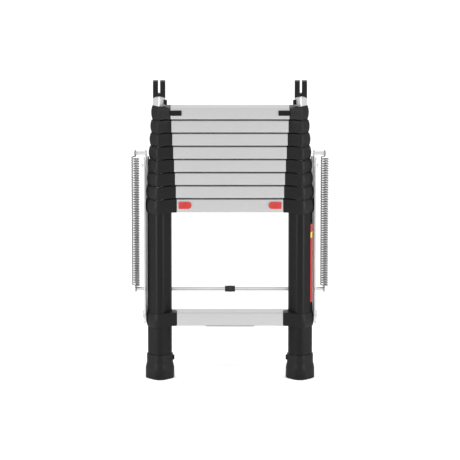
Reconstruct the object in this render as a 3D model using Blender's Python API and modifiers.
"""Telescoping loft ladder with side arms and counterbalance springs, folded to its shortest.

Frame: metres, +Z up, +X to the right and -Y to the front, where the user stands. The origin is on
the floor, midway between the two stiles. Left is the -X side. Section 1 is the fixed base, with
the two lowest rungs; sections 2 to 8 slide out of it, each carrying one more rung.
"""

import math

import bmesh
import bpy
from mathutils import Vector

# Stiles: nested tubes whose cross-section is a triangle with large rounded corners, point forward
STILE_X = 0.181
CORNERS = ((0.0, -0.0100), (0.01385, 0.00385), (-0.01385, 0.00385))
BASE_RADIUS = 0.0174
RADIUS_STEP = 0.0022
TUBE_WALL = 0.0014
TUBE_LENGTH = 0.410
SECTIONS = 8
ARC_STEP = 22.5

# Rungs and the stack. The two fixed rungs are the tallest and the uppermost is the lowest
BASE_RUNG_HEIGHT = 0.0350
RUNG_HEIGHT = 0.0319
TOP_RUNG_HEIGHT = 0.0292
RUNG_FRONT = -0.026
RUNG_BACK = 0.022
RUNG_CORNER = 0.004
RUNG_WALL = 0.0018
RUNG_1_BOTTOM = 0.1429
RUNG_2_BOTTOM = 0.4429
STACK_GAP = 0.0025

# Collars: a ring round the stile and a flange that reaches in to the rung
COLLAR_WALL = 0.0050
BASE_COLLAR_WALL = 0.0046
FLANGE_REACH = 0.0132
FLANGE_CORNER = 0.002
BASE_FLANGE_BACK = 0.0
RING_DROP_BOTTOM = 0.0053
RING_DROP_TOP = 0.0032
TOP_RING_RISE = 0.0024
LIP_THICKNESS = 0.0023
SPIGOT_LENGTH = 0.012
SPIGOT_ROOT = 0.003
LIP_CLEARANCE = 0.0005
EDGE_BEVEL = 0.0008
FIT_GAP = 0.0003

# How far a tool or a joined piece runs past the faces that it cuts or enters
OVERRUN = 0.020
EMBED = 0.001
WELD_DISTANCE = 0.00002
BEVEL_ABOVE = 60

# Feet
FOOT_HEIGHT = 0.0642
FOOT_SOLE_THICKNESS = 0.008
FOOT_BASE_OFFSET = 0.0060
FOOT_SLEEVE_OFFSET = 0.0026
FOOT_FLARE = (0.0267, 0.0420)
FOOT_LUG = (0.0042, 0.0140, 0.0137)
FOOT_LUG_Z = 0.0528
FOOT_LUG_ROOT = 0.0010

# Top forks
FORK_BOTTOM = 0.7395
FORK_TOP = 0.7835
FORK_HALF_WIDTH = 0.0158
FORK_ARCH = 0.0053
FORK_FRONT = -0.0125
FORK_BACK = 0.0078
FORK_SLOT_HALF = 0.0026
FORK_SLOT_BOTTOM = 0.7500
FORK_NOTCH_Z = 0.7769
FORK_NOTCH = 0.0016
FORK_CORNER = 0.0015
FORK_SPIGOT_LENGTH = 0.028
FORK_SPIGOT_ROOT = 0.002

# Release buttons on rung 2 and latches on rung 9, both sliding inward in slots
BUTTON_LENGTH = 0.0314
BUTTON_HEIGHT = 0.0162
BUTTON_OUTER_X = 0.1309
BUTTON_Z = 0.4626
BUTTON_CORNER = 0.0016
BUTTON_STEM_INSET = 0.0145
LATCH_LENGTH = 0.0280
LATCH_HEIGHT = 0.0132
LATCH_RISE = 0.0015
LATCH_CORNER = 0.001
LATCH_STEM_INSET = 0.0205
SLIDER_BEVEL = 0.0006
SLIDER_THICKNESS = 0.0032
SLIDER_STEM = (0.0120, 0.0070)
SLIDER_TRAVEL = 0.007
SLIDER_STEM_DEPTH = 0.0060
SLOT_CLEARANCE = 0.0006

# Rear frame: a cross rod welded to two flat rails and to two lugs on the base tubes
ROD_RADIUS = 0.0050
ROD_Y = 0.0316
ROD_Z = 0.2279
ROD_HALF_LENGTH = 0.2466
RAIL_INNER_X = 0.2075
RAIL_OUTER_X = 0.2174
RAIL_FRONT = 0.0245
RAIL_THICKNESS = 0.0028
RAIL_Z = (0.1534, 0.5804)
RAIL_CORNER = 0.003
ROD_LUG_WIDTH = 0.014
ROD_LUG_HEIGHT = 0.007
GRIP_LENGTH = 0.026
GRIP_RADIUS = 0.00825

# Plate under rung 1
STRIP_LENGTH = 0.128
STRIP_DEPTH = 0.020
STRIP_THICKNESS = 0.0022
STRIP_CORNER = 0.006
STRIP_SETBACK = 0.004

# Side arms, which turn on pins in the rung 1 collars
PIVOT_Y = 0.00385
PIVOT_Z = 0.1674
PIVOT_RADIUS = 0.0040
BOSS_RADIUS = 0.0090
BOSS_ROOT = 0.006
PIN_START = 0.002
ARM_INNER_X = 0.2179
ARM_THICKNESS = 0.0038
ARM_FRONT = -0.0080
ARM_BACK = 0.0262
ARM_BOTTOM = 0.1439
ARM_TOP = 0.5809
ARM_CORNER = 0.009
STUD_Z = 0.5934
STUD_RADIUS = 0.0043
STUD_END_X = 0.2470
STUD_PLATE_INNER_X = 0.2153
STUD_PLATE_HALF_WIDTH = 0.0090
STUD_PLATE_BOTTOM = 0.5604
STUB_Z = 0.5609
STUB_RADIUS = 0.0040
STUB_END_X = 0.2273

# Springs, hooked from the rod's ends to the arms' studs
SPRING_X = 0.2427
SPRING_RADIUS = 0.0108
SPRING_WIRE = 0.0017
SPRING_LOW_GAP = 0.0015
SPRING_HIGH_GAP = 0.0050
HOOK_GAP = 0.0005
SHANK_LENGTH = 0.030
SHANK_RADIUS = 0.0015

# Colours of the finishes: red, green, blue, then roughness and metallic
FINISHES = {
    "aluminium": ((0.62, 0.62, 0.62), 0.42, 0.9),
    "black_tube": ((0.035, 0.035, 0.036), 0.38, 0.2),
    "black_plastic": ((0.033, 0.033, 0.034), 0.50, 0.0),
    "steel": ((0.50, 0.50, 0.51), 0.35, 0.9),
    "zinc_wire": ((0.42, 0.42, 0.43), 0.40, 0.9),
    "red_plastic": ((0.56, 0.045, 0.035), 0.40, 0.0),
    "rubber": ((0.018, 0.018, 0.018), 0.75, 0.0),
}

SIDES = (("left", -1), ("right", 1))
ALONG_X = (math.pi / 2, 0, math.pi / 2)
ALONG_MINUS_Y = (math.pi / 2, 0, 0)


def clear_scene():
    for item in list(bpy.data.objects):
        bpy.data.objects.remove(item, do_unlink=True)


def new_collection(name):
    collection = bpy.data.collections.new(name)
    bpy.context.scene.collection.children.link(collection)
    return collection


def material(name):
    """The finish of this name, made on its first use."""
    found = bpy.data.materials.get(name)
    if found:
        return found
    colour, roughness, metallic = FINISHES[name]
    made = bpy.data.materials.new(name)
    made.use_nodes = True
    shader = made.node_tree.nodes["Principled BSDF"]
    shader.inputs["Base Color"].default_value = (*colour, 1)
    shader.inputs["Roughness"].default_value = roughness
    shader.inputs["Metallic"].default_value = metallic
    return made


# ---------------------------------------------------------------- outlines

def rounded_outline(centres, radius, step_degrees=ARC_STEP):
    """The line that a disc's edge leaves as the disc goes round a convex polygon of centres."""
    points = []
    for index, (x, y) in enumerate(centres):
        before = centres[index - 1]
        after = centres[(index + 1) % len(centres)]
        start = math.atan2(y - before[1], x - before[0]) - math.pi / 2
        end = math.atan2(after[1] - y, after[0] - x) - math.pi / 2
        turn = (end - start) % math.tau
        steps = round(math.degrees(turn) / step_degrees)
        for step in range(steps + 1):
            angle = start + turn * step / steps
            points.append((x + radius * math.cos(angle), y + radius * math.sin(angle)))
    return points


def rounded_box(low, high, radius, step_degrees=30):
    """A rectangle with rounded corners, from its low corner to its high one."""
    (x0, y0), (x1, y1) = low, high
    r = radius
    centres = ((x0 + r, y0 + r), (x1 - r, y0 + r), (x1 - r, y1 - r), (x0 + r, y1 - r))
    return rounded_outline(centres, radius, step_degrees)


def stile_outline(radius):
    return rounded_outline(CORNERS, radius)


def convex_hull(points):
    """The points on the convex hull, anticlockwise."""
    ordered = sorted(set(points))

    def half(run):
        chain = []
        for point in run:
            while len(chain) > 1 and turn_of(chain[-2], chain[-1], point) <= 1e-12:
                chain.pop()
            chain.append(point)
        return chain[:-1]

    return half(ordered) + half(reversed(ordered))


def turn_of(a, b, c):
    return (b[0] - a[0]) * (c[1] - a[1]) - (b[1] - a[1]) * (c[0] - a[0])


def mirrored(right):
    """The left half of an outline that is symmetric about its Y axis, in the order that follows on."""
    return [(-x, y) for x, y in reversed(right)]


def arc_points(centre, radius, start, end, steps):
    """Points on an arc, both ends included; angles in degrees."""
    points = []
    for step in range(steps + 1):
        angle = math.radians(start + (end - start) * step / steps)
        points.append((centre[0] + radius * math.cos(angle), centre[1] + radius * math.sin(angle)))
    return points


# ---------------------------------------------------------------- solids

def place(name, mesh, location, rotation, collection):
    made = bpy.data.objects.new(name, mesh)
    made.location = location
    made.rotation_euler = rotation
    collection.objects.link(made)
    return made


def solid_from_curve(name, curve, location, rotation, collection):
    """A curve object turned into a welded mesh object in the same place."""
    source = place(name + "_curve", curve, location, rotation, collection)
    bpy.context.view_layer.update()
    evaluated = source.evaluated_get(bpy.context.evaluated_depsgraph_get())
    mesh = bpy.data.meshes.new_from_object(evaluated)
    mesh.name = name
    bpy.data.objects.remove(source)
    bm = bmesh.new()
    bm.from_mesh(mesh)
    bmesh.ops.remove_doubles(bm, verts=bm.verts, dist=1e-6)
    bmesh.ops.recalc_face_normals(bm, faces=bm.faces)
    bm.to_mesh(mesh)
    bm.free()
    return place(name, mesh, location, rotation, collection)


def extrusion(name, loops, depth, location=(0, 0, 0), rotation=(0, 0, 0), collection=None):
    """A flat outline, with holes where loops nest, given half its depth on each side."""
    curve = bpy.data.curves.new(name, "CURVE")
    curve.dimensions = "2D"
    curve.fill_mode = "BOTH"
    curve.extrude = depth / 2
    for loop in loops:
        spline = curve.splines.new("POLY")
        spline.points.add(len(loop) - 1)
        for point, (x, y) in zip(spline.points, loop):
            point.co = (x, y, 0, 1)
        spline.use_cyclic_u = True
    return solid_from_curve(name, curve, location, rotation, collection or parts)


def wire(name, points, radius, cyclic=False, location=(0, 0, 0), collection=None):
    """A round wire along the points, eight-sided."""
    curve = bpy.data.curves.new(name, "CURVE")
    curve.dimensions = "3D"
    curve.bevel_depth = radius
    curve.bevel_resolution = 2
    curve.use_fill_caps = True
    spline = curve.splines.new("POLY")
    spline.points.add(len(points) - 1)
    for point, place_of in zip(spline.points, points):
        point.co = (*place_of, 1)
    spline.use_cyclic_u = cyclic
    return solid_from_curve(name, curve, location, (0, 0, 0), collection or parts)


def stile_loft(name, rings, location=(0, 0, 0), hollow=False, collection=None):
    """A skin through stile outlines given as (corner radius, height), from the first to the last.

    Its two ends are capped, or, if it is hollow, joined to each other.
    """
    bm = bmesh.new()
    loops = []
    for radius, height in rings:
        loops.append([bm.verts.new((x, y, height)) for x, y in stile_outline(radius)])
    count = len(loops[0])
    pairs = list(zip(loops, loops[1:]))
    if hollow:
        pairs.append((loops[-1], loops[0]))
    else:
        bm.faces.new(reversed(loops[0]))
        bm.faces.new(loops[-1])
    for lower, upper in pairs:
        for i in range(count):
            j = (i + 1) % count
            bm.faces.new((lower[i], lower[j], upper[j], upper[i]))
    bmesh.ops.recalc_face_normals(bm, faces=bm.faces)
    mesh = bpy.data.meshes.new(name)
    bm.to_mesh(mesh)
    bm.free()
    return place(name, mesh, location, (0, 0, 0), collection or parts)


def box(name, low, high, collection=None):
    """A box from its low corner to its high one."""
    low, high = Vector(low), Vector(high)
    bm = bmesh.new()
    bmesh.ops.create_cube(bm, size=1)
    bmesh.ops.scale(bm, vec=high - low, verts=bm.verts)
    mesh = bpy.data.meshes.new(name)
    bm.to_mesh(mesh)
    bm.free()
    return place(name, mesh, (low + high) / 2, (0, 0, 0), collection or parts)


def rod_along_x(name, start, end, y, z, radius, sides=20, collection=None):
    """A cylinder between two X places."""
    bm = bmesh.new()
    bmesh.ops.create_cone(bm, cap_ends=True, segments=sides, radius1=radius, radius2=radius,
                          depth=abs(end - start))
    mesh = bpy.data.meshes.new(name)
    bm.to_mesh(mesh)
    bm.free()
    middle = ((start + end) / 2, y, z)
    return place(name, mesh, middle, (0, math.pi / 2, 0), collection or parts)


def ring_along_x(name, outer, inner, depth, x, y, z, sides=20, collection=None):
    """A plain ring whose hole runs along X."""
    loops = [arc_points((0, 0), r, 0, 360 - 360 / sides, sides - 1) for r in (outer, inner)]
    return extrusion(name, loops, depth, (x, y, z), ALONG_X, collection)


def combine(target, tool, operation):
    """Adds the tool to the target, or takes it away; the tool stays as a hidden helper."""
    modifier = target.modifiers.new(tool.name, "BOOLEAN")
    modifier.operation = operation
    modifier.solver = "EXACT"
    modifier.object = tool
    tool.hide_render = True
    tool.display_type = "WIRE"
    for owner in list(tool.users_collection):
        owner.objects.unlink(tool)
    helpers.objects.link(tool)


def weld(target):
    """Merges the vertices that a chain of booleans leaves almost in one place."""
    modifier = target.modifiers.new("weld", "WELD")
    modifier.merge_threshold = WELD_DISTANCE


def bevel(target, width):
    modifier = target.modifiers.new("edges", "BEVEL")
    modifier.width = width
    modifier.segments = 1
    modifier.limit_method = "ANGLE"
    modifier.angle_limit = math.radians(BEVEL_ABOVE)


def finish(item, finish_name, parent):
    """Gives a piece its finish and its parent, which leaves it where it is."""
    item.data.materials.clear()
    item.data.materials.append(material(finish_name))
    item.data.shade_smooth()
    item.data.set_sharp_from_angle(angle=math.radians(35))
    item.parent = parent
    item.matrix_parent_inverse = parent.matrix_world.inverted()
    return item


def pivot_empty(name, location, parent=None):
    """An empty on a joint's axis, for the pieces that the joint moves."""
    empty = place(name, None, location, (0, 0, 0), parts)
    bpy.context.view_layer.update()
    if parent:
        empty.parent = parent
        empty.matrix_parent_inverse = parent.matrix_world.inverted()
        bpy.context.view_layer.update()
    return empty


# ---------------------------------------------------------------- derived sizes

def tube_radius(section):
    return BASE_RADIUS - RADIUS_STEP * (section - 1)


def half_width(section):
    return CORNERS[1][0] + tube_radius(section)


def flange_reach(section):
    """How far the flange's face lies inward of the stile's centre."""
    return half_width(section) + FLANGE_REACH


def rung_height(rung):
    if rung == SECTIONS + 1:
        return TOP_RUNG_HEIGHT
    return BASE_RUNG_HEIGHT if section_of(rung) == 1 else RUNG_HEIGHT


def ring_drop_top(rung):
    """How far a ring's top lies below its rung's tread; the uppermost rings stand above it."""
    return -TOP_RING_RISE if rung == SECTIONS + 1 else RING_DROP_TOP


def flange_back(rung):
    """How far back a collar's flange runs: the fixed rungs' ends pass behind theirs."""
    return BASE_FLANGE_BACK if section_of(rung) == 1 else RUNG_BACK


def rung_bottom(rung):
    if rung == 1:
        return RUNG_1_BOTTOM
    if rung == 2:
        return RUNG_2_BOTTOM
    stack = RUNG_2_BOTTOM + BASE_RUNG_HEIGHT + STACK_GAP
    return stack + (RUNG_HEIGHT + STACK_GAP) * (rung - 3)


def section_of(rung):
    """The section that carries this rung."""
    return max(1, rung - 1)


# ---------------------------------------------------------------- stiles

def tube(side_name, side, section, parent):
    """One section's tube. It ends under its collar's lip, except the top one, which meets the fork."""
    radius = tube_radius(section)
    top = rung_bottom(section + 1) + rung_height(section + 1) - RING_DROP_TOP - LIP_THICKNESS - FIT_GAP
    bottom = top - TUBE_LENGTH
    name = f"section_{section}_tube_{side_name}"
    if section == 1:
        bottom = FOOT_SOLE_THICKNESS + FIT_GAP
        name = "base_tube_" + side_name
    if section == SECTIONS:
        top = FORK_BOTTOM + FORK_ARCH - FIT_GAP
    inner = radius - TUBE_WALL
    rings = ((radius, bottom), (radius, top), (inner, top), (inner, bottom))
    made = stile_loft(name, rings, (side * STILE_X, 0, 0), hollow=True)
    if section == SECTIONS:
        combine(made, arch_cutter(name + "_arch", side), "DIFFERENCE")
    return finish(made, "black_tube" if section == 1 else "aluminium", parent)


def fork_arch(drop=0):
    """The right half of the fork's arched lower edge, lowered by drop: its top point, then the rest."""
    half, rise = FORK_HALF_WIDTH, FORK_ARCH
    radius = (half * half + rise * rise) / (2 * rise)
    spread = math.degrees(math.asin(half / radius))
    centre = (0, FORK_BOTTOM + rise - radius - drop)
    top, *rest = arc_points(centre, radius, 90, 90 - spread, 4)
    return top, rest


def arch_cutter(name, side):
    """Everything above the fork's arched lower edge, with a small gap."""
    reach = FORK_HALF_WIDTH + OVERRUN
    top, arch = fork_arch(FIT_GAP)
    right = [*arch, (reach, FORK_BOTTOM - FIT_GAP), (reach, FORK_TOP)]
    outline = [top, *right, *mirrored(right)]
    depth = FORK_BACK - FORK_FRONT + 2 * OVERRUN
    return extrusion(name, [outline], depth, (side * STILE_X, 0, 0), ALONG_MINUS_Y)


def foot(side_name, side, parent):
    """A moulded foot: a flared cup that the base tube stands in."""
    radius = BASE_RADIUS
    base = radius + FOOT_BASE_OFFSET
    sleeve = radius + FOOT_SLEEVE_OFFSET
    pocket = radius + FIT_GAP
    rings = (
        (base - EDGE_BEVEL, 0),
        (base, EDGE_BEVEL),
        (base, FOOT_FLARE[0]),
        (sleeve, FOOT_FLARE[1]),
        (sleeve, FOOT_HEIGHT),
        (pocket, FOOT_HEIGHT),
        (pocket, FOOT_SOLE_THICKNESS),
    )
    made = stile_loft("foot_" + side_name, rings, (side * STILE_X, 0, 0))
    length, width, height = FOOT_LUG
    inner = side * (STILE_X - CORNERS[1][0] - pocket - FOOT_LUG_ROOT)
    outer = inner - side * length
    lug = box(
        "foot_lug_" + side_name,
        (min(inner, outer), PIVOT_Y - width / 2, FOOT_LUG_Z - height / 2),
        (max(inner, outer), PIVOT_Y + width / 2, FOOT_LUG_Z + height / 2),
    )
    combine(made, lug, "UNION")
    return finish(made, "black_plastic", parent)


def fork(side_name, side, parent):
    """The top end: a block with an open slot between two prongs, on a spigot in the top tube."""
    half, notch, z = FORK_HALF_WIDTH, FORK_NOTCH, FORK_NOTCH_Z
    corner = FORK_CORNER
    slot = FORK_SLOT_HALF
    top, arch = fork_arch()
    right = [
        *arch,
        (half, z - notch),
        (half - notch, z),
        (half, z + notch),
        (half, FORK_TOP - corner),
        (half - corner, FORK_TOP),
        (slot, FORK_TOP),
        *arc_points((0, FORK_SLOT_BOTTOM + slot), slot, 0, -75, 3),
    ]
    outline = [top, *right, *mirrored(right)]
    depth = FORK_BACK - FORK_FRONT
    middle = (side * STILE_X, (FORK_BACK + FORK_FRONT) / 2, 0)
    made = extrusion("top_fork_" + side_name, [outline], depth, middle, ALONG_MINUS_Y)
    low = FORK_BOTTOM - FORK_SPIGOT_LENGTH
    high = FORK_BOTTOM + FORK_ARCH + FORK_SPIGOT_ROOT
    radius = tube_radius(SECTIONS) - TUBE_WALL - FIT_GAP
    spigot = stile_loft("fork_spigot_" + side_name, ((radius, low), (radius, high)),
                        (side * STILE_X, 0, 0))
    combine(made, spigot, "UNION")
    return finish(made, "black_plastic", parent)


# ---------------------------------------------------------------- collars and rungs

def collar_wall(section):
    return BASE_COLLAR_WALL if section == 1 else COLLAR_WALL


def collar_plan(rung, inward, gap=0, extra=()):
    """The collar seen from above, with a gap round it: a ring drawn out to the rung's flange."""
    section = section_of(rung)
    ring = stile_outline(tube_radius(section) + collar_wall(section) + gap)
    r = FLANGE_CORNER
    corner_x = flange_reach(section) - r
    flange = arc_points((corner_x, RUNG_FRONT + r), r + gap, -90, 0, 3)
    flange += arc_points((corner_x, flange_back(rung) - r), r + gap, 0, 90, 3)
    return convex_hull([(inward * x, y) for x, y in [*ring, *flange, *extra]])


def drop_ring(target, section, inward, drop_top):
    """Lets the ring hang below the flange, with a slope from the stile's centre to its inner side."""
    half = half_width(section)
    bm = bmesh.new()
    bm.from_mesh(target.data)
    for place_along in (0, half):
        bmesh.ops.bisect_plane(
            bm,
            geom=bm.verts[:] + bm.edges[:] + bm.faces[:],
            plane_co=(inward * place_along, 0, 0),
            plane_no=(1, 0, 0),
            dist=1e-6,
        )
    bmesh.ops.remove_doubles(bm, verts=bm.verts, dist=1e-5)
    for vert in bm.verts:
        share = min(1, max(0, 1 - inward * vert.co.x / half))
        vert.co.z -= share * (drop_top if vert.co.z > 0 else RING_DROP_BOTTOM)
    bmesh.ops.recalc_face_normals(bm, faces=bm.faces)
    bm.to_mesh(target.data)
    bm.free()


def collar(side_name, side, rung, parent):
    """One collar: ring, flange and the spigot that plugs into the rung."""
    section = section_of(rung)
    inward = -side
    bottom, height = rung_bottom(rung), rung_height(rung)
    middle = bottom + height / 2
    x = side * STILE_X
    name = f"rung_{rung}_collar_{side_name}"
    made = extrusion(name, [collar_plan(rung, inward)], height, (x, 0, middle))
    drop_ring(made, section, inward, ring_drop_top(rung))

    inset = RUNG_WALL + FIT_GAP
    plug = rounded_box(
        (RUNG_FRONT + inset, inset - height / 2),
        (flange_back(rung) - inset, height / 2 - inset),
        RUNG_CORNER - RUNG_WALL,
        45,
    )
    reach = flange_reach(section)
    plug_length = SPIGOT_LENGTH + SPIGOT_ROOT
    plug_x = x + inward * (reach - SPIGOT_ROOT + plug_length / 2)
    spigot = extrusion(name + "_spigot", [plug], plug_length, (plug_x, 0, middle), ALONG_X)
    combine(made, spigot, "UNION")

    if rung == 1:
        tube_side = STILE_X + half_width(1)
        boss = rod_along_x(name + "_boss", side * (tube_side - BOSS_ROOT),
                           side * (ARM_INNER_X - FIT_GAP), PIVOT_Y, PIVOT_Z, BOSS_RADIUS)
        combine(made, boss, "UNION")
        pin = rod_along_x(name + "_pin", side * (tube_side + PIN_START),
                          side * (ARM_INNER_X + ARM_THICKNESS), PIVOT_Y, PIVOT_Z, PIVOT_RADIUS)
        combine(made, pin, "UNION")

    bore = tube_radius(section) + FIT_GAP
    low, high = bottom - OVERRUN, bottom + height + OVERRUN
    rings = [(bore, low), (bore, high)]
    if 1 < rung <= SECTIONS:
        lip = tube_radius(section + 1) + LIP_CLEARANCE
        step = bottom + height - RING_DROP_TOP - LIP_THICKNESS
        rings = [(bore, low), (bore, step), (lip, step), (lip, high)]
    cutter = stile_loft(name + "_bore", rings, (x, 0, 0))
    combine(made, cutter, "DIFFERENCE")
    weld(made)
    return finish(made, "black_plastic", parent)


def rung(number, parent):
    """A hollow rung between two collars. A fixed rung's ends run on behind its collars' flanges."""
    section = section_of(number)
    fixed = section == 1
    end = half_width(section) + collar_wall(section) if fixed else flange_reach(section)
    length = 2 * (STILE_X - end - FIT_GAP)
    half = rung_height(number) / 2
    middle = rung_bottom(number) + half
    outer = rounded_box((RUNG_FRONT, -half), (RUNG_BACK, half), RUNG_CORNER)
    inner = rounded_box(
        (RUNG_FRONT + RUNG_WALL, RUNG_WALL - half),
        (RUNG_BACK - RUNG_WALL, half - RUNG_WALL),
        RUNG_CORNER - RUNG_WALL,
        45,
    )
    made = extrusion(f"rung_{number}", [outer, inner], length, (0, 0, middle), ALONG_X)
    if fixed:
        corner = (flange_reach(section) + FIT_GAP, RUNG_FRONT - OVERRUN)
        for side_name, side in SIDES:
            plan = collar_plan(number, -side, FIT_GAP, [corner])
            cutter = extrusion(f"rung_{number}_notch_{side_name}", [plan], 4 * half,
                               (side * STILE_X, 0, middle))
            combine(made, cutter, "DIFFERENCE")
    for label, (number_on, stem_x, z) in SLIDERS.items():
        if number_on != number:
            continue
        for side_name, side in SIDES:
            combine(made, slider_slot(label + "_slot_" + side_name, side, stem_x, z), "DIFFERENCE")
    return finish(made, "aluminium", parent)


def slider_slot(name, side, stem_x, z):
    """The hole in a rung's front wall that a slider's stem runs in."""
    length, height = SLIDER_STEM
    gap = SLOT_CLEARANCE
    outer = side * (stem_x + length / 2 + gap)
    inner = side * (stem_x - length / 2 - gap - SLIDER_TRAVEL)
    return box(
        name,
        (min(outer, inner), RUNG_FRONT - EMBED, z - height / 2 - gap),
        (max(outer, inner), RUNG_FRONT + RUNG_WALL + EMBED, z + height / 2 + gap),
    )


# ---------------------------------------------------------------- sliders

def button_outline():
    """The release button from the front: flat at its outer end, round at its inner end."""
    radius = BUTTON_HEIGHT / 2
    straight = BUTTON_LENGTH - radius
    corner = BUTTON_CORNER
    outline = arc_points((straight, 0), radius, -90, 90, 10)
    outline += [(corner, radius), (0, radius - corner), (0, corner - radius), (corner, -radius)]
    return outline


def latch_outline():
    half = LATCH_HEIGHT / 2
    return rounded_box((0, -half), (LATCH_LENGTH, half), LATCH_CORNER, 45)


def slider(name, side, outline, outer_x, z, stem_x, finish_name, parent):
    """A flat slider in front of a rung, with a stem through the rung's front wall."""
    inward = -side
    front = RUNG_FRONT - FIT_GAP - SLIDER_THICKNESS
    middle = (side * outer_x, RUNG_FRONT - FIT_GAP - SLIDER_THICKNESS / 2, z)
    face = [(inward * x, height) for x, height in outline]
    made = extrusion(name, [face], SLIDER_THICKNESS, middle, ALONG_MINUS_Y)
    bevel(made, SLIDER_BEVEL)
    length, height = SLIDER_STEM
    stem = box(
        name + "_stem",
        (side * stem_x - length / 2, front + EMBED, z - height / 2),
        (side * stem_x + length / 2, RUNG_FRONT + SLIDER_STEM_DEPTH, z + height / 2),
    )
    combine(made, stem, "UNION")
    return finish(made, finish_name, parent)


# ---------------------------------------------------------------- rear frame and arms

def rear_frame(parent):
    """Two flat rails and two lugs, welded to the cross rod."""
    made = rod_along_x("rear_frame", -ROD_HALF_LENGTH, ROD_HALF_LENGTH, ROD_Y, ROD_Z, ROD_RADIUS)
    bevel(made, EDGE_BEVEL)
    for side_name, side in SIDES:
        low, high = RAIL_Z
        outline = rounded_box((RAIL_INNER_X, low), (RAIL_OUTER_X, high), RAIL_CORNER, 45)
        face = [(side * x, z) for x, z in outline]
        middle = (0, RAIL_FRONT + RAIL_THICKNESS / 2, 0)
        rail = extrusion("rail_" + side_name, [face], RAIL_THICKNESS, middle, ALONG_MINUS_Y)
        combine(made, rail, "UNION")
        tube_back = CORNERS[1][1] + BASE_RADIUS
        lug = box(
            "rod_lug_" + side_name,
            (side * STILE_X - ROD_LUG_WIDTH / 2, tube_back + FIT_GAP, ROD_Z - ROD_LUG_HEIGHT / 2),
            (side * STILE_X + ROD_LUG_WIDTH / 2, ROD_Y, ROD_Z + ROD_LUG_HEIGHT / 2),
        )
        combine(made, lug, "UNION")
    return finish(made, "steel", parent)


def rod_grip(parent):
    """The sleeve on the rod's middle."""
    made = ring_along_x("rod_grip", GRIP_RADIUS, ROD_RADIUS + FIT_GAP, GRIP_LENGTH, 0, ROD_Y, ROD_Z)
    bevel(made, EDGE_BEVEL)
    return finish(made, "rubber", parent)


def rung_strip(parent):
    """The plate under the lowest rung."""
    half = STRIP_LENGTH / 2
    front = RUNG_FRONT + STRIP_SETBACK
    outline = rounded_box((-half, front), (half, front + STRIP_DEPTH), STRIP_CORNER)
    z = RUNG_1_BOTTOM - FIT_GAP - STRIP_THICKNESS / 2
    made = extrusion("rung_1_strip", [outline], STRIP_THICKNESS, (0, 0, z))
    return finish(made, "steel", parent)


def side_arm(side_name, side, parent):
    """A flat bar with a pivot hole at its foot and a stud plate, a stud and a stub at its top."""
    outline = rounded_box((ARM_FRONT, ARM_BOTTOM), (ARM_BACK, ARM_TOP), ARM_CORNER)
    hole = arc_points((PIVOT_Y, PIVOT_Z), PIVOT_RADIUS + FIT_GAP, 0, 345, 23)
    x = side * (ARM_INNER_X + ARM_THICKNESS / 2)
    name = "side_arm_" + side_name
    made = extrusion(name, [outline, hole], ARM_THICKNESS, (x, 0, 0), ALONG_X)

    half = STUD_PLATE_HALF_WIDTH
    plate_outline = arc_points((PIVOT_Y, STUD_Z), half, 0, 180, 8)
    plate_outline += [(PIVOT_Y - half, STUD_PLATE_BOTTOM), (PIVOT_Y + half, STUD_PLATE_BOTTOM)]
    thickness = ARM_INNER_X + FIT_GAP - STUD_PLATE_INNER_X
    plate_x = side * (STUD_PLATE_INNER_X + thickness / 2)
    plate = extrusion(name + "_plate", [plate_outline], thickness, (plate_x, 0, 0), ALONG_X)
    combine(made, plate, "UNION")
    stud = rod_along_x(name + "_stud", side * (STUD_PLATE_INNER_X + EMBED), side * STUD_END_X,
                       PIVOT_Y, STUD_Z, STUD_RADIUS)
    combine(made, stud, "UNION")
    stub = rod_along_x(name + "_stub", side * (ARM_INNER_X + EMBED), side * STUB_END_X,
                       PIVOT_Y, STUB_Z, STUB_RADIUS)
    combine(made, stub, "UNION")
    return finish(made, "steel", parent)


# ---------------------------------------------------------------- springs

def spring_line(side):
    """The spring's lower centre, its upper centre and the direction between them."""
    low = Vector((side * SPRING_X, ROD_Y, ROD_Z))
    high = Vector((side * SPRING_X, PIVOT_Y, STUD_Z))
    return low, high, (high - low).normalized()


def eye_points(centre, radius, steps=12):
    """A wire eye round an X axis."""
    points = []
    for step in range(steps):
        angle = math.tau * step / steps
        offset = Vector((0, math.sin(angle), math.cos(angle))) * radius
        points.append(centre + offset)
    return points


def spring(side_name, side, parent):
    """The coil's outer shape: a sleeve, closed below, on the wire eye that holds the rod."""
    low, high, along = spring_line(side)
    eye_radius = ROD_RADIUS + HOOK_GAP + SPRING_WIRE
    top_eye = STUD_RADIUS + HOOK_GAP + SPRING_WIRE
    start = low + along * (eye_radius + SPRING_LOW_GAP)
    end = high - along * (top_eye + SPRING_HIGH_GAP)
    outer, inner = SPRING_RADIUS, SPRING_RADIUS - 2 * SPRING_WIRE
    length = (end - start).length
    floor = 2 * SPRING_WIRE
    name = "spring_" + side_name
    profile = [(0, 0), (outer, 0), (outer, length), (inner, length), (inner, floor), (0, floor)]
    made = turned(name, profile, start, along)
    eye = wire(name + "_eye", eye_points(low, eye_radius), SPRING_WIRE, cyclic=True)
    combine(made, eye, "UNION")
    shank = wire(name + "_shank", [low + along * eye_radius, start + along * SPRING_WIRE],
                 SHANK_RADIUS)
    combine(made, shank, "UNION")
    return finish(made, "zinc_wire", parent)


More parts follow.
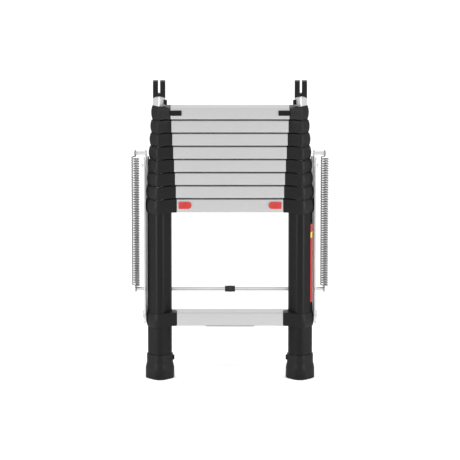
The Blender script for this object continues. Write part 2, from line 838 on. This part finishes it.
def turned(name, profile, location, along, sides=16):
    """A profile of (radius, height) points turned about the line through location."""
    bm = bmesh.new()
    verts = [bm.verts.new((radius, 0, height)) for radius, height in profile]
    edges = [bm.edges.new(pair) for pair in zip(verts, verts[1:])]
    bmesh.ops.spin(bm, geom=verts + edges, cent=(0, 0, 0), axis=(0, 0, 1), angle=math.tau,
                   steps=sides, use_merge=True)
    bmesh.ops.remove_doubles(bm, verts=bm.verts, dist=1e-6)
    bmesh.ops.recalc_face_normals(bm, faces=bm.faces)
    mesh = bpy.data.meshes.new(name)
    bm.to_mesh(mesh)
    bm.free()
    tilt = Vector((0, 0, 1)).rotation_difference(along).to_euler()
    return place(name, mesh, location, tilt, parts)


def spring_hook(side_name, side, parent):
    """The upper end of the spring: a wire eye round the stud and a shank down into the coil."""
    low, high, along = spring_line(side)
    radius = STUD_RADIUS + HOOK_GAP + SPRING_WIRE
    name = "spring_hook_" + side_name
    made = wire(name, eye_points(high, radius), SPRING_WIRE, cyclic=True)
    shank = wire(name + "_shank", [high - along * radius, high - along * (radius + SHANK_LENGTH)],
                 SHANK_RADIUS)
    combine(made, shank, "UNION")
    return finish(made, "zinc_wire", parent)


# ---------------------------------------------------------------- assembly

BUTTON_STEM_X = BUTTON_OUTER_X - BUTTON_STEM_INSET
LATCH_OUTER_X = STILE_X - flange_reach(SECTIONS) - FIT_GAP
LATCH_STEM_X = LATCH_OUTER_X - LATCH_STEM_INSET
LATCH_Z = rung_bottom(SECTIONS + 1) + RUNG_HEIGHT / 2 + LATCH_RISE
SLIDERS = {
    "button": (2, BUTTON_STEM_X, BUTTON_Z),
    "latch": (SECTIONS + 1, LATCH_STEM_X, LATCH_Z),
}

clear_scene()
parts = new_collection("telescoping_ladder")
helpers = new_collection("helpers")

base = pivot_empty("base", (0, 0, 0))
for side_name, side in SIDES:
    tube(side_name, side, 1, base)
    foot(side_name, side, base)
for number in (1, 2):
    rung(number, base)
    for side_name, side in SIDES:
        collar(side_name, side, number, base)
rear_frame(base)
rod_grip(base)
rung_strip(base)
for side_name, side in SIDES:
    mover = pivot_empty("button_slide_" + side_name, (side * BUTTON_OUTER_X, 0, BUTTON_Z), base)
    slider("release_button_" + side_name, side, button_outline(), BUTTON_OUTER_X, BUTTON_Z,
           BUTTON_STEM_X, "red_plastic", mover)

carrier = base
for section in range(2, SECTIONS + 1):
    carrier = pivot_empty(f"section_{section}", (0, 0, rung_bottom(section + 1)), carrier)
    rung(section + 1, carrier)
    for side_name, side in SIDES:
        tube(side_name, side, section, carrier)
        collar(side_name, side, section + 1, carrier)

for side_name, side in SIDES:
    fork(side_name, side, carrier)
    mover = pivot_empty("latch_slide_" + side_name, (side * LATCH_OUTER_X, 0, LATCH_Z), carrier)
    slider("top_latch_" + side_name, side, latch_outline(), LATCH_OUTER_X, LATCH_Z,
           LATCH_STEM_X, "black_plastic", mover)

    arm_pivot = pivot_empty("arm_pivot_" + side_name, (side * ARM_INNER_X, PIVOT_Y, PIVOT_Z), base)
    side_arm(side_name, side, arm_pivot)
    spring_pivot = pivot_empty("spring_pivot_" + side_name, (side * SPRING_X, ROD_Y, ROD_Z), base)
    spring(side_name, side, spring_pivot)
    hook_slide = pivot_empty("hook_slide_" + side_name, (side * SPRING_X, PIVOT_Y, STUD_Z),
                             spring_pivot)
    spring_hook(side_name, side, hook_slide)
